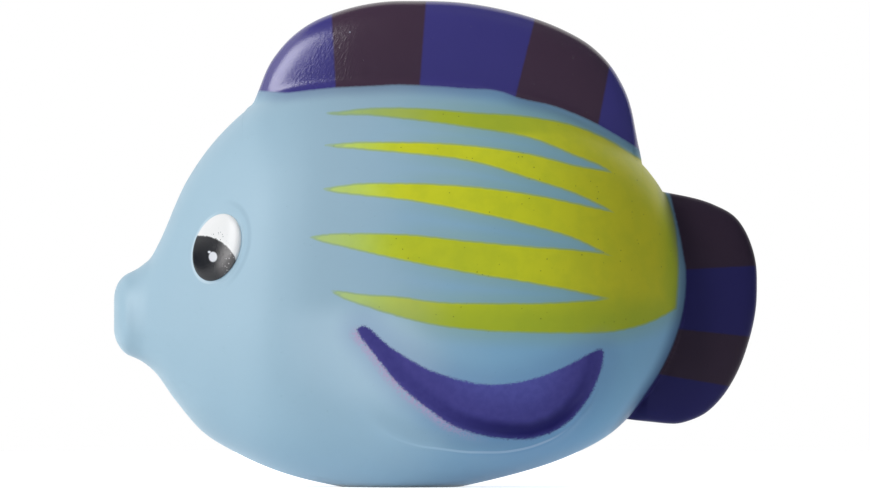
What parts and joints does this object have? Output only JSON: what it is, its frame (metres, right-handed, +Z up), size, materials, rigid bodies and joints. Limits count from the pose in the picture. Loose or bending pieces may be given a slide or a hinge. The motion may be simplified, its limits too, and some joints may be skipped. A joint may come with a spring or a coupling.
{
  "type": "squeaky bath toy",
  "caption": "Soft vinyl bath toy in the shape of a pale blue tropical fish with yellow streaks and banded fins, with a reed squeaker in its belly",
  "frame": {"origin": "under the middle of the fish, on the plane that the belly stands on", "axes": "+X runs from the snout to the tail, +Y from the left flank to the right flank, +Z up"},
  "size_m": [0.09, 0.044, 0.068],
  "materials": {
    "vinyl": "semi-matt soft vinyl with sprayed paint",
    "squeaker_plastic": "moulded polypropylene",
    "reed_film": "thin plastic film"
  },
  "bodies": {
    "shell": {"body_shell": "vinyl", "squeaker_cup": "squeaker_plastic", "reed_block": "squeaker_plastic", "reed_clamp": "squeaker_plastic", "squeaker_lid": "squeaker_plastic"},
    "left_flank": {"left_flank": "vinyl"},
    "right_flank": {"right_flank": "vinyl"},
    "reed": {"reed": "reed_film"}
  },
  "joints": [
    {"name": "left_squeeze", "type": "slide", "parent": "shell", "child": "left_flank", "axis": [0, 1, 0], "range_m": [0, 0.006], "stiffness_N_per_m": 600},
    {"name": "right_squeeze", "type": "slide", "parent": "shell", "child": "right_flank", "axis": [0, -1, 0], "range_m": [0, 0.006], "stiffness_N_per_m": 600},
    {"name": "reed_beat", "type": "hinge", "parent": "shell", "child": "reed", "pos_m": [-0.00765, 0, 0.00336], "axis": [0, 1, 0], "range_deg": [-5, 2.5], "stiffness_Nm_per_rad": 0.00005}
  ]
}
